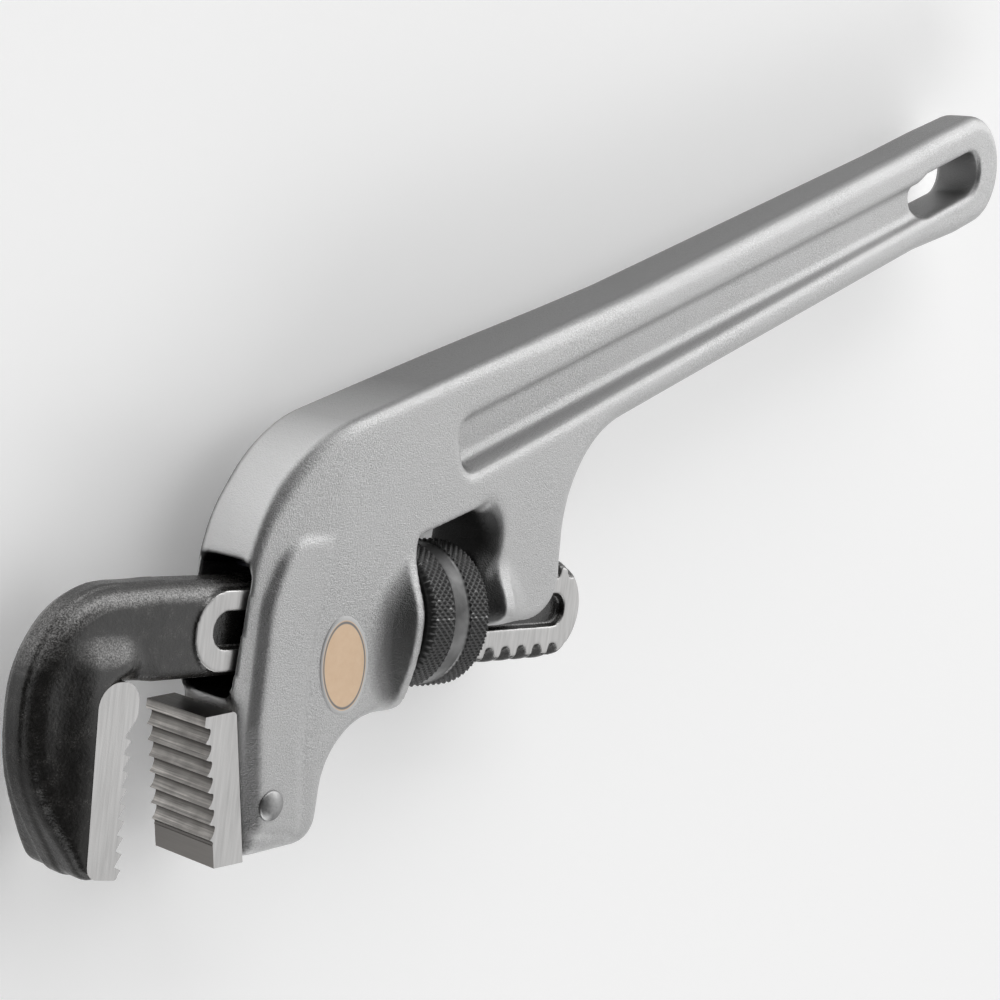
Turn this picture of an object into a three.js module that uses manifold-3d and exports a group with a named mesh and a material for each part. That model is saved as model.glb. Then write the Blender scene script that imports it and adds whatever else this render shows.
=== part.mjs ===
// An offset-handle pipe wrench lying on its side, in millimetres.
//
// The pieces are laid out in the tool's own axes and moved at the end:
//   x  along the hook jaw's shank, from the hook towards the shank's tail
//   y  across the tool, from the mouth towards the back of the handle
//   z  through the tool's thickness
// The nut's centre is at x = y = z = 0. A last shift puts the object's lowest
// point at z = 0 and its middle over the origin.

import * as THREE from 'three';
import { mergeVertices } from 'three/addons/utils/BufferGeometryUtils.js';
import Module from 'manifold-3d';

// ---------------------------------------------------------------- dimensions

const GAP = 0.3; // between pieces that touch
const BEYOND = 60; // how far a cut runs past the material

// Handle and housing, one casting
const SIDE = 7.5; // half the housing's thickness
const HANDLE_ANGLE = THREE.MathUtils.degToRad(21.57);
const HANDLE_CENTRELINE = 25.5; // the handle's axis passes this far from the nut's centre
const HANDLE_HALF_HEIGHT = 10.1;
const HANDLE_TAPER_START = 30; // stations along the handle's own axis
const HANDLE_END_CENTRE = 176.8;
const HANDLE_END_RADIUS = 11.6;
const HANDLE_END_HALF_THICKNESS = 5.1;
const RECESS_START = 9.5;
const RECESS_HALF_WIDTH = 4.6;
const WEB_HALF_THICKNESS = 3;
const HANG_SLOT_START = 153.4;
const HANG_SLOT_END = 178.4;
const FRONT_RIM_HALF_THICKNESS = 6.5;
const PAD_CREASE = -28; // where the side starts to thin towards the front
const COLLAR_RADIUS = 10.9; // swellings that back the nut up on both sides
const COLLAR_FOOT_RADIUS = 6.6;
const COLLAR_LENGTH = 9.5;
const LUG_FLOOR = -0.9;

// Channel for the shank
const TUNNEL_HALF_WIDTH = 5.6;
const TUNNEL_FLOOR = -10.3;
const TUNNEL_ROOF = 9.9;
const LUG_ROOF = 8.9;
const WINDOW_HALF_LENGTH = 7.6;

// Hook jaw
const JAW_HALF_WIDTH = 6.35;
const HOOK_HALF_WIDTH = 5.5;
const HOOK_CHAMFER = 3;
const NECK_HALF_WIDTH = 4.6;
const SHANK_HALF_WIDTH = 5;
const SHANK_RADIUS = 7.4;
const SHANK_TAIL = 38.4;
const RAIL_START = -49.3;
const RAIL_HALF_HEIGHT = 6;
const SHANK_RECESS_START = -45.8;
const SHANK_RECESS_END = 34.1;
const SHANK_RECESS_HALF_HEIGHT = 2.8;
const SHANK_RECESS_DEPTH = 1.5;

// Nut and its thread
const NUT_RADIUS = 11.82;
const NUT_HALF_LENGTH = 6.92;
const NUT_GROOVE_START = -1.45;
const NUT_GROOVE_END = 1.74;
const NUT_GROOVE_DEPTH = 0.45;
const NUT_CHAMFER = 0.5;
const THREAD_PITCH = 4.15;
const THREAD_OFFSET = 1.5;
const THREAD_ROOT_RADIUS = 9.25;
const THREAD_CREST_RADIUS = 7.75;
const THREAD_CREST_WIDTH = 0.9;
const THREAD_ROOT_WIDTH = 2.3;
const SHANK_TIP_RADIUS = 8.9;
const SHANK_THREAD_START = -22;

// Jaw teeth
const HEEL_TILT = THREE.MathUtils.degToRad(11.6);
const HEEL_CORNER = new THREE.Vector2(-41.1, -11.4); // top of the head's back face
const HEEL_DEPTH = 6.05;
const HEEL_HEIGHT = 23;
const HEEL_TOOTH_START = 0.7;
const HEEL_TOOTH_PITCH = 2.46;
const HEEL_TEETH = 8;
const HOOK_FACE = -60.2;
const HOOK_TOOTH_START = -14.05;
const HOOK_TOOTH_PITCH = 2.28;
const HOOK_TEETH = 9;
const TOOTH_DEPTH = 1.1;
const TONGUE_HALF_WIDTH = 3.5;
const TONGUE_LENGTH = 11;

// Heel jaw pin
const PIN_PLACE = new THREE.Vector2(-33.3, -25.8);
const PIN_RADIUS = 1.9;
const PIN_HEAD_RADIUS = 2.35;
const PIN_HEAD_RIM = 0.6;
const PIN_HEAD_HEIGHT = 1.5;

// Springs behind the shank
const LEAF_THICKNESS = 0.6;
const LEAF_HALF_WIDTH = 3.5;
const LEAF_FREE_END = -35;
const LEAF_FIXED_END = -10.5;
const RIVET_X = -14;
const RIVET_RADIUS = 1.2;
const RIVET_HEAD_RADIUS = 2.2;
const RIVET_TOP = 15.5;
const COIL_X = -31.5;
const COIL_RADIUS = 2.1;
const COIL_WIRE_RADIUS = 0.35;
const COIL_TURNS = 6;
const COIL_TOP = 18.4;

// Label
const LABEL_PLACE = new THREE.Vector2(-21.2, -5.4);
const LABEL_HALF_WIDTH = 4.8;
const LABEL_HALF_HEIGHT = 7.3;
const LABEL_THICKNESS = 0.15;

// ------------------------------------------------------------------ materials

function finish(color, roughness, metalness) {
  return new THREE.MeshStandardMaterial({ color, roughness, metalness });
}

const castAluminium = finish(0xb9bbbd, 0.5, 0.9);
const blackForging = finish(0x202123, 0.45, 0.6);
const groundSteel = finish(0x8d8f92, 0.35, 0.95);
const blackOxide = finish(0x2c2e31, 0.5, 0.7);
const brightSteel = finish(0xb4b4b2, 0.3, 0.95);
const springSteel = finish(0x3a3d42, 0.4, 0.85);
const labelFilm = finish(0xd9b48c, 0.5, 0.0);

// ----------------------------------------------------------- geometry helpers

const wasm = await Module();
wasm.setup();

// A closed three.js geometry as a solid that can be joined and cut.
function solid(geometry) {
  geometry.deleteAttribute('normal');
  geometry.deleteAttribute('uv');
  const merged = mergeVertices(geometry, 1e-4);
  return new wasm.Manifold(new wasm.Mesh({
    numProp: 3,
    vertProperties: new Float32Array(merged.attributes.position.array),
    triVerts: new Uint32Array(merged.index.array),
  }));
}

function geometryOf(body) {
  const mesh = body.getMesh();
  const geometry = new THREE.BufferGeometry();
  geometry.setAttribute('position', new THREE.BufferAttribute(mesh.vertProperties, 3));
  geometry.setIndex(new THREE.BufferAttribute(mesh.triVerts, 1));
  geometry.computeVertexNormals();
  return geometry;
}

// Outline points from corners of [x, y, radius]; without a radius a corner is sharp.
function outline(corners, stepAngle = Math.PI / 12) {
  return corners.flatMap(([x, y, radius], i) => {
    const corner = new THREE.Vector2(x, y);
    if (!radius) return [corner];
    const [beforeX, beforeY] = corners[(i + corners.length - 1) % corners.length];
    const [afterX, afterY] = corners[(i + 1) % corners.length];
    const back = new THREE.Vector2(beforeX, beforeY).sub(corner).normalize();
    const forward = new THREE.Vector2(afterX, afterY).sub(corner).normalize();
    const halfAngle = Math.acos(back.dot(forward)) / 2;
    const reach = radius / Math.tan(halfAngle);
    const centre = back.clone().add(forward).normalize()
      .multiplyScalar(radius / Math.sin(halfAngle)).add(corner);
    const start = back.multiplyScalar(reach).add(corner).sub(centre);
    const end = forward.multiplyScalar(reach).add(corner).sub(centre);
    const sweep = Math.atan2(start.cross(end), start.dot(end));
    const steps = Math.ceil(Math.abs(sweep) / stepAngle);
    return Array.from({ length: steps + 1 }, (_, k) => (
      start.clone().rotateAround(new THREE.Vector2(), (sweep * k) / steps).add(centre)
    ));
  });
}

// A plate of the given outline between two heights.
function plate(points, low, high) {
  const shape = new THREE.Shape(points);
  const geometry = new THREE.ExtrudeGeometry(shape, { depth: high - low, bevelEnabled: false });
  geometry.translate(0, 0, low);
  return solid(geometry);
}

// A bar along x whose section is an outline of [z, y, radius] corners.
function barAlongX(corners, low, high) {
  const shape = new THREE.Shape(outline(corners));
  const geometry = new THREE.ExtrudeGeometry(shape, { depth: high - low, bevelEnabled: false });
  geometry.translate(0, 0, low);
  geometry.rotateY(Math.PI / 2);
  return solid(geometry);
}

// A bar along y whose section is an outline of [x, z, radius] corners.
function barAlongY(corners, low, high) {
  const shape = new THREE.Shape(outline(corners));
  const geometry = new THREE.ExtrudeGeometry(shape, { depth: high - low, bevelEnabled: false });
  geometry.translate(0, 0, -high);
  geometry.rotateX(Math.PI / 2);
  return solid(geometry);
}

function box(lowX, highX, lowY, highY, lowZ, highZ) {
  const geometry = new THREE.BoxGeometry(highX - lowX, highY - lowY, highZ - lowZ);
  geometry.translate((lowX + highX) / 2, (lowY + highY) / 2, (lowZ + highZ) / 2);
  return solid(geometry);
}

// A body turned about an axis from [distance along it, radius] points.
function turned(profile, axis, segments) {
  const points = profile.map(([along, radius]) => new THREE.Vector2(radius, along));
  const geometry = new THREE.LatheGeometry(points, segments);
  if (axis === 'x') geometry.rotateZ(-Math.PI / 2);
  if (axis === 'z') geometry.rotateX(Math.PI / 2);
  return solid(geometry);
}

function rod(radius, low, high, axis, segments) {
  return turned([[low, 0], [low, radius], [high, radius], [high, 0]], axis, segments);
}

// A racetrack outline along x between two ends, round at both.
function racetrack(start, end, halfHeight, middle = 0) {
  return [
    [start, middle - halfHeight, halfHeight * 0.98],
    [end, middle - halfHeight, halfHeight * 0.98],
    [end, middle + halfHeight, halfHeight * 0.98],
    [start, middle + halfHeight, halfHeight * 0.98],
  ];
}

// Corners given along and across the handle, turned into the tool's axes.
function onHandle(corners) {
  return corners.map(([along, across, radius]) => {
    const point = new THREE.Vector2(along, HANDLE_CENTRELINE + across);
    point.rotateAround(new THREE.Vector2(), HANDLE_ANGLE);
    return [point.x, point.y, radius];
  });
}

// Corners given down the heel jaw's face and back from it, in the tool's axes.
function onHeel(corners) {
  return corners.map(([down, back, radius]) => {
    const point = new THREE.Vector2(back, -down);
    point.rotateAround(new THREE.Vector2(), HEEL_TILT).add(HEEL_CORNER);
    return [point.x, point.y, radius];
  });
}

// A helical ridge about the x axis: a straight bar of the given [x, radius]
// section, wrapped round the axis between two stations.
function helicalRidge(section, start, end, stepsPerTurn) {
  const turns = (end - start) / THREAD_PITCH;
  const shape = new THREE.Shape(section.map(([x, radius]) => new THREE.Vector2(x, radius)));
  const geometry = new THREE.ExtrudeGeometry(shape, {
    depth: turns,
    steps: Math.ceil(turns * stepsPerTurn),
    bevelEnabled: false,
  });
  const position = geometry.attributes.position;
  for (let i = 0; i < position.count; i += 1) {
    const station = start + position.getZ(i) * THREAD_PITCH;
    const angle = (2 * Math.PI * (station - THREAD_OFFSET)) / THREAD_PITCH;
    const radius = position.getY(i);
    position.setXYZ(
      i,
      position.getX(i) + station,
      radius * Math.cos(angle),
      radius * Math.sin(angle),
    );
  }
  return solid(geometry);
}

// The nut's thread ridge, made larger all round by a clearance.
function threadSection(clearance) {
  const crest = THREAD_CREST_WIDTH / 2 + clearance;
  const root = THREAD_ROOT_WIDTH / 2 + clearance;
  const seat = 0.2; // the ridge is rooted this far into the nut
  return [
    [-root, THREAD_ROOT_RADIUS + seat + clearance],
    [-crest, THREAD_CREST_RADIUS - clearance],
    [crest, THREAD_CREST_RADIUS - clearance],
    [root, THREAD_ROOT_RADIUS + seat + clearance],
  ];
}

// ------------------------------------------------------------ handle_housing

function castingBlank() {
  const front = onHeel([[23.2, GAP, 1.5], [-0.5, GAP, 1.5]]);
  const tip = HANDLE_END_CENTRE + HANDLE_END_RADIUS;
  const handle = onHandle([
    [72, -HANDLE_HALF_HEIGHT, 0],
    [152, -HANDLE_HALF_HEIGHT - 0.2, 30],
    [HANDLE_END_CENTRE - 8, -HANDLE_END_RADIUS, 12],
    [tip, -HANDLE_END_RADIUS, HANDLE_END_RADIUS * 0.98],
    [tip, HANDLE_END_RADIUS, HANDLE_END_RADIUS * 0.98],
    [HANDLE_END_CENTRE - 10, HANDLE_END_RADIUS, 12],
    [148, HANDLE_HALF_HEIGHT + 0.4, 30],
    [60, HANDLE_HALF_HEIGHT, 60],
    [6, HANDLE_HALF_HEIGHT + 1.6, 60],
  ]);
  const corners = [
    front[0],
    [-22.6, -32.6, 4.5],
    [-21.8, -15.6, 11],
    [-4.4, -12.8, 2.5],
    [-4.4, LUG_FLOOR, 0],
    [29.8, LUG_FLOOR, 8],
    [28.5, 27.8, 20],
    ...handle,
    [-36.6, 26.1, 27],
    [-39.4, 9, 6],
    front[1],
  ];
  return plate(outline(corners), -SIDE, SIDE);
}

// A block whose lower face lies on one side of the handle's tapering thickness.
function taperBlock(side) {
  const run = HANDLE_END_CENTRE + HANDLE_END_RADIUS - HANDLE_TAPER_START;
  const slope = Math.atan2(SIDE - HANDLE_END_HALF_THICKNESS, run);
  const geometry = new THREE.BoxGeometry(2 * run, 2 * BEYOND, BEYOND);
  geometry.translate(run, 0, (side * BEYOND) / 2);
  geometry.rotateY(side * slope);
  geometry.translate(HANDLE_TAPER_START, HANDLE_CENTRELINE, side * SIDE);
  geometry.rotateZ(HANDLE_ANGLE);
  return solid(geometry);
}

// A block that thins the housing from the pad's crease to the front rim.
function frontBlock(side) {
  const slope = Math.atan2(SIDE - FRONT_RIM_HALF_THICKNESS, 12);
  const geometry = new THREE.BoxGeometry(BEYOND, 2 * BEYOND, BEYOND);
  geometry.translate(-BEYOND / 2, 0, (side * BEYOND) / 2);
  geometry.rotateY(-side * slope);
  geometry.translate(PAD_CREASE, 0, side * SIDE);
  return solid(geometry);
}

// The full-thickness boss that carries the heel jaw's pin.
function sidePad() {
  return plate(outline([
    [-26.8, -31.2, 1],
    [-28.8, -16.8, 0],
    [-28.4, -5.3, 0],
    [-26.8, 13.4, 0],
    [-35, 10.5, 8],
    [-36.6, -2, 6],
    [-37.1, -14, 3],
    [-34.8, -29.8, 1],
  ]), -SIDE, SIDE);
}

function leftCollar() {
  const inner = -WINDOW_HALF_LENGTH;
  return turned([
    [inner - COLLAR_LENGTH, 0],
    [inner - COLLAR_LENGTH, COLLAR_FOOT_RADIUS],
    [inner - 1.8, COLLAR_RADIUS],
    [inner, COLLAR_RADIUS],
    [inner, 0],
  ], 'x', 40);
}

function rightCollar() {
  const inner = WINDOW_HALF_LENGTH;
  const collar = turned([
    [inner, 0],
    [inner, COLLAR_FOOT_RADIUS],
    [inner + 3.5, COLLAR_RADIUS - 1.2],
    [inner + 5.5, COLLAR_RADIUS - 1.2],
    [inner + COLLAR_LENGTH + 2, COLLAR_FOOT_RADIUS],
    [inner + COLLAR_LENGTH + 2, 0],
  ], 'x', 40);
  return collar.intersect(box(0, BEYOND, LUG_FLOOR, BEYOND, -BEYOND, BEYOND));
}

// The window that the nut turns in, with a pocket above its right end.
function nutWindow() {
  const low = -WINDOW_HALF_LENGTH;
  const high = WINDOW_HALF_LENGTH;
  return plate(outline([
    [low, -BEYOND, 0],
    [high, -BEYOND, 0],
    [high, 6, 3],
    [high + 3.6, 10.5, 3],
    [high + 3.6, 19.8, 4.5],
    [low, 13.6, 1.2],
  ]), -BEYOND, BEYOND);
}

// A closed tunnel in front of the nut and a lug open at its foot behind it.
function shankChannel() {
  const half = TUNNEL_HALF_WIDTH;
  const tunnel = barAlongX([
    [-half, TUNNEL_FLOOR, 3.5],
    [half, TUNNEL_FLOOR, 3.5],
    [half, TUNNEL_ROOF, 2.5],
    [-half, TUNNEL_ROOF, 2.5],
  ], -BEYOND, 0);
  const lug = barAlongX([
    [-half, -BEYOND, 0],
    [half, -BEYOND, 0],
    [half, LUG_ROOF, 2],
    [-half, LUG_ROOF, 2],
  ], 0, BEYOND);
  return tunnel.add(lug);
}

// The heel jaw's tongue; with a clearance, the slot in the housing that takes it.
function tongue(clearance) {
  const half = TONGUE_HALF_WIDTH + clearance;
  return plate(outline(onHeel([
    [1.5 - clearance, -3, 0],
    [21 + clearance, -3, 0],
    [21 + clearance, TONGUE_LENGTH + clearance, 2],
    [1.5 - clearance, TONGUE_LENGTH + clearance, 2],
  ])), -half, half);
}

function handleRecess(side) {
  const track = racetrack(RECESS_START, HANG_SLOT_END, RECESS_HALF_WIDTH);
  const points = outline(onHandle(track));
  return side > 0
    ? plate(points, WEB_HALF_THICKNESS, BEYOND)
    : plate(points, -BEYOND, -WEB_HALF_THICKNESS);
}

function handleHousing() {
  const hangSlot = racetrack(HANG_SLOT_START, HANG_SLOT_END, RECESS_HALF_WIDTH);
  const coilPocket = rod(COIL_RADIUS + 0.9, 0, COIL_TOP + 0.7, 'y', 20).translate([COIL_X, 0, 0]);
  const rivetHole = rod(RIVET_RADIUS + GAP, 0, RIVET_TOP + GAP, 'y', 16).translate([RIVET_X, 0, 0]);
  const pinHole = rod(PIN_RADIUS + GAP, -BEYOND, BEYOND, 'z', 24);
  return castingBlank()
    .subtract(frontBlock(1))
    .subtract(frontBlock(-1))
    .add(sidePad())
    .subtract(taperBlock(1))
    .subtract(taperBlock(-1))
    .add(leftCollar())
    .add(rightCollar())
    .subtract(nutWindow())
    .subtract(shankChannel())
    .subtract(handleRecess(1))
    .subtract(handleRecess(-1))
    .subtract(plate(outline(onHandle(hangSlot)), -BEYOND, BEYOND))
    .subtract(tongue(GAP))
    .subtract(coilPocket)
    .subtract(rivetHole)
    .subtract(pinHole.translate([PIN_PLACE.x, PIN_PLACE.y, 0]));
}

// ------------------------------------------------------------------ hook_jaw

// The hook's bend, chamfered on both sides along its top and its back.
function hookBody() {
  const half = HOOK_HALF_WIDTH;
  const crown = half - HOOK_CHAMFER;
  const side = plate(outline([
    [-53, 7, 0],
    [-70.4, 8, 12],
    [-77, -7.5, 14],
    [-73.6, -26.5, 16],
    [-66.6, -34.3, 4.5],
    [-62.4, -34.3, 0],
    [-62.4, -6.9, 0],
    [-53, -6.9, 0],
  ]), -half, half);
  const top = barAlongX([
    [-half, -BEYOND, 0],
    [half, -BEYOND, 0],
    [half, 3.2, 0],
    [crown, 7, 0],
    [-crown, 7, 0],
    [-half, 3.2, 0],
  ], -2 * BEYOND, 0);
  const back = barAlongY([
    [0, -half, 0],
    [0, half, 0],
    [-70.5, half, 0],
    [-76.6, crown, 0],
    [-76.6, -crown, 0],
    [-70.5, -half, 0],
  ], -BEYOND, BEYOND);
  return side.intersect(top).intersect(back);
}

// The ground block that carries the teeth, from the throat to the hook's tip.
function hookToothBlock() {
  const teeth = Array.from({ length: HOOK_TEETH }, (_, i) => {
    const tip = HOOK_TOOTH_START - i * HOOK_TOOTH_PITCH;
    return [
      [HOOK_FACE - TOOTH_DEPTH, tip + 0.45, 0],
      [HOOK_FACE, tip, 0],
    ];
  }).flat();
  const points = outline([
    [-66.6, -5.6, 3.2],
    [-59.6, -5.6, 2.6],
    [-59.6, -10.6, 1],
    ...teeth,
    [HOOK_FACE - 0.6, -33.9, 0],
    [-65.2, -33.3, 0],
  ].reverse());
  return plate(points, -JAW_HALF_WIDTH, JAW_HALF_WIDTH);
}

// The forged neck between hook and shank, with the throat's rounded corner.
function hookNeck() {
  const half = NECK_HALF_WIDTH;
  const neck = barAlongX([
    [-half, -6.9, 2],
    [half, -6.9, 2],
    [half, 7.3, 3.2],
    [-half, 7.3, 3.2],
  ], -62.4, -38);
  const throat = plate(outline([
    [-62.4, -8.9, 0],
    [-59.6, -8.9, 0],
    [-59.6, -6.9, 1.9],
    [-56, -6.9, 0],
    [-56, -5, 0],
    [-62.4, -5, 0],
  ]), -half, half);
  return neck.add(throat);
}

// Rails, tail and threaded edge, all between the two ground sides.
function shank() {
  const side = plate(outline([
    [RAIL_START, -RAIL_HALF_HEIGHT, RAIL_HALF_HEIGHT * 0.98],
    [SHANK_THREAD_START - 4, -RAIL_HALF_HEIGHT, 0],
    [SHANK_THREAD_START, -SHANK_TIP_RADIUS - 0.5, 0],
    [SHANK_TAIL - 7, -SHANK_TIP_RADIUS - 0.5, 2],
    [SHANK_TAIL, -2.6, 4],
    [SHANK_TAIL, 2.6, 4],
    [SHANK_TAIL - 5.7, SHANK_RADIUS + 0.6, 2],
    [-38, SHANK_RADIUS + 0.6, 0],
    [-38, RAIL_HALF_HEIGHT, 0],
    [RAIL_START, RAIL_HALF_HEIGHT, RAIL_HALF_HEIGHT * 0.98],
  ]), -SHANK_HALF_WIDTH, SHANK_HALF_WIDTH);
  const round = rod(SHANK_RADIUS, -BEYOND, BEYOND, 'x', 48);
  const lowerHalf = box(-BEYOND, BEYOND, -BEYOND, 0, -BEYOND, BEYOND);
  const threaded = rod(SHANK_TIP_RADIUS, -BEYOND, BEYOND, 'x', 56).intersect(lowerHalf);
  const grooves = helicalRidge(
    threadSection(GAP),
    SHANK_THREAD_START - 2,
    SHANK_TAIL + 4,
    18,
  );
  const boss = box(
    RAIL_START - 1,
    SHANK_THREAD_START - 6,
    -RAIL_HALF_HEIGHT,
    RAIL_HALF_HEIGHT,
    -BEYOND,
    BEYOND,
  );
  return side.intersect(round.add(threaded).add(boss)).subtract(grooves);
}

function shankRecess(side) {
  const floor = SHANK_HALF_WIDTH - SHANK_RECESS_DEPTH;
  const points = outline(racetrack(
    SHANK_RECESS_START,
    SHANK_RECESS_END,
    SHANK_RECESS_HALF_HEIGHT,
    0.15,
  ));
  return side > 0 ? plate(points, floor, BEYOND) : plate(points, -BEYOND, -floor);
}

function hookJaw() {
  return hookBody()
    .add(hookToothBlock())
    .add(hookNeck())
    .add(shank())
    .subtract(shankRecess(1))
    .subtract(shankRecess(-1));
}

// ------------------------------------------------------------------ heel_jaw

function heelJaw() {
  const teeth = Array.from({ length: HEEL_TEETH }, (_, i) => {
    const tip = HEEL_TOOTH_START + i * HEEL_TOOTH_PITCH;
    return [
      [tip, -HEEL_DEPTH, 0],
      [tip + 0.55, TOOTH_DEPTH - HEEL_DEPTH, 0],
    ];
  }).flat();
  const head = plate(outline(onHeel([
    [0, 0, 0.8],
    [-0.4, -HEEL_DEPTH + 0.3, 0],
    ...teeth,
    [HEEL_HEIGHT - 4.2, -HEEL_DEPTH + 0.5, 0],
    [HEEL_HEIGHT - 0.6, -HEEL_DEPTH + 0.5, 0],
    [HEEL_HEIGHT + 0.35, 0, 0],
  ])), -JAW_HALF_WIDTH, JAW_HALF_WIDTH);
  const pinHole = rod(PIN_RADIUS + GAP, -BEYOND, BEYOND, 'z', 24);
  return head.add(tongue(0)).subtract(pinHole.translate([PIN_PLACE.x, PIN_PLACE.y, 0]));
}

// -------------------------------------------------------------- heel_jaw_pin

function heelJawPin() {
  const seat = SIDE + GAP;
  const head = [
    [seat, PIN_RADIUS],
    [seat, PIN_HEAD_RADIUS],
    [seat + PIN_HEAD_RIM, PIN_HEAD_RADIUS],
    [seat + PIN_HEAD_HEIGHT * 0.8, PIN_HEAD_RADIUS * 0.6],
    [seat + PIN_HEAD_HEIGHT, 0],
  ];
  const otherHead = head.map(([along, radius]) => [-along, radius]).reverse();
  const pin = turned([...otherHead, ...head], 'z', 24);
  return pin.translate([PIN_PLACE.x, PIN_PLACE.y, 0]);
}

// ------------------------------------------------------------- adjusting_nut

function adjustingNut() {
  const end = NUT_HALF_LENGTH;
  const ring = turned([
    [-end, THREAD_ROOT_RADIUS + 0.7],
    [-end, NUT_RADIUS - NUT_CHAMFER],
    [-end + NUT_CHAMFER, NUT_RADIUS],
    [NUT_GROOVE_START - NUT_GROOVE_DEPTH, NUT_RADIUS],
    [NUT_GROOVE_START, NUT_RADIUS - NUT_GROOVE_DEPTH],
    [NUT_GROOVE_END, NUT_RADIUS - NUT_GROOVE_DEPTH],
    [NUT_GROOVE_END + NUT_GROOVE_DEPTH, NUT_RADIUS],
    [end - NUT_CHAMFER, NUT_RADIUS],
    [end, NUT_RADIUS - NUT_CHAMFER],
    [end, THREAD_ROOT_RADIUS + 0.7],
    [end - 0.7, THREAD_ROOT_RADIUS],
    [-end + 0.7, THREAD_ROOT_RADIUS],
    [-end, THREAD_ROOT_RADIUS + 0.7],
  ], 'x', 48);
  const reach = end - 0.7 - THREAD_ROOT_WIDTH / 2;
  return ring.add(helicalRidge(threadSection(0), -reach, reach, 18));
}

// ------------------------------------------------------------------- springs

// A strip riveted under the tunnel's roof, bowed down to the shank's back.
function flatSpring() {
  const high = TUNNEL_ROOF - GAP;
  const low = SHANK_RADIUS + GAP + LEAF_THICKNESS;
  const line = new THREE.SplineCurve([
    new THREE.Vector2(LEAF_FIXED_END, high),
    new THREE.Vector2(-17.5, high),
    new THREE.Vector2(-26, low + 0.25),
    new THREE.Vector2(COIL_X, low),
    new THREE.Vector2(LEAF_FREE_END, low + 0.3),
  ]).getPoints(16);
  const under = line.map((point) => new THREE.Vector2(point.x, point.y - LEAF_THICKNESS));
  const strip = plate([...line, ...under.reverse()], -LEAF_HALF_WIDTH, LEAF_HALF_WIDTH);
  const hole = rod(RIVET_RADIUS + GAP, 0, BEYOND, 'y', 16).translate([RIVET_X, 0, 0]);
  return strip.subtract(hole);
}

function springRivet() {
  const headTop = TUNNEL_ROOF - 2 * GAP - LEAF_THICKNESS;
  const headFoot = headTop - 0.45;
  return turned([
    [headFoot, 0],
    [headFoot, RIVET_HEAD_RADIUS - 0.3],
    [headTop, RIVET_HEAD_RADIUS],
    [headTop, RIVET_RADIUS],
    [RIVET_TOP, RIVET_RADIUS],
    [RIVET_TOP, 0],
  ], 'y', 20).translate([RIVET_X, 0, 0]);
}

class CoilCurve extends THREE.Curve {
  getPoint(t) {
    const foot = SHANK_RADIUS + 2 * GAP + LEAF_THICKNESS + COIL_WIRE_RADIUS + 0.1;
    const angle = 2 * Math.PI * COIL_TURNS * t;
    return new THREE.Vector3(
      COIL_X + COIL_RADIUS * Math.cos(angle),
      foot + (COIL_TOP - COIL_WIRE_RADIUS - foot) * t,
      COIL_RADIUS * Math.sin(angle),
    );
  }
}

function coilSpring() {
  const wire = outline([
    [-COIL_WIRE_RADIUS, -COIL_WIRE_RADIUS, COIL_WIRE_RADIUS * 0.98],
    [COIL_WIRE_RADIUS, -COIL_WIRE_RADIUS, COIL_WIRE_RADIUS * 0.98],
    [COIL_WIRE_RADIUS, COIL_WIRE_RADIUS, COIL_WIRE_RADIUS * 0.98],
    [-COIL_WIRE_RADIUS, COIL_WIRE_RADIUS, COIL_WIRE_RADIUS * 0.98],
  ], Math.PI / 2);
  const geometry = new THREE.ExtrudeGeometry(new THREE.Shape(wire), {
    extrudePath: new CoilCurve(),
    steps: COIL_TURNS * 10,
    bevelEnabled: false,
  });
  return solid(geometry);
}

// --------------------------------------------------------------------- label

function label() {
  const film = rod(1, SIDE + GAP, SIDE + GAP + LABEL_THICKNESS, 'z', 40);
  return film
    .scale([LABEL_HALF_WIDTH, LABEL_HALF_HEIGHT, 1])
    .rotate([0, 0, THREE.MathUtils.radToDeg(HEEL_TILT)])
    .translate([LABEL_PLACE.x, LABEL_PLACE.y, 0]);
}

// ------------------------------------------------------------------ assembly

const wrench = new THREE.Group();

function addPiece(name, body, material) {
  const mesh = new THREE.Mesh(geometryOf(body), material);
  mesh.name = name;
  wrench.add(mesh);
}

addPiece('handle_housing', handleHousing(), castAluminium);
addPiece('hook_jaw', hookJaw(), blackForging);
addPiece('heel_jaw', heelJaw(), groundSteel);
addPiece('heel_jaw_pin', heelJawPin(), brightSteel);
addPiece('adjusting_nut', adjustingNut(), blackOxide);
addPiece('flat_spring', flatSpring(), springSteel);
addPiece('coil_spring', coilSpring(), springSteel);
addPiece('spring_rivet', springRivet(), brightSteel);
addPiece('label', label(), labelFilm);

const extent = new THREE.Box3().setFromObject(wrench);
const middle = extent.getCenter(new THREE.Vector3());
wrench.position.set(-middle.x, -middle.y, -extent.min.z);

export default wrench;
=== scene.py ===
"""Looks of the offset-handle pipe wrench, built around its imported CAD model.

Shapes are given in millimetres in the tool's own axes, with the nut's centre
at the origin: x along the hook jaw's shank from the hook to the tail, y from
the mouth to the handle's back, z through the thickness. Cast and forged
pieces are distance fields turned into meshes; machined ones are outlines.
"""

import math

import bpy
import numpy as np
import openvdb
from mathutils import Matrix, Vector
from mathutils.bvhtree import BVHTree


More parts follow.
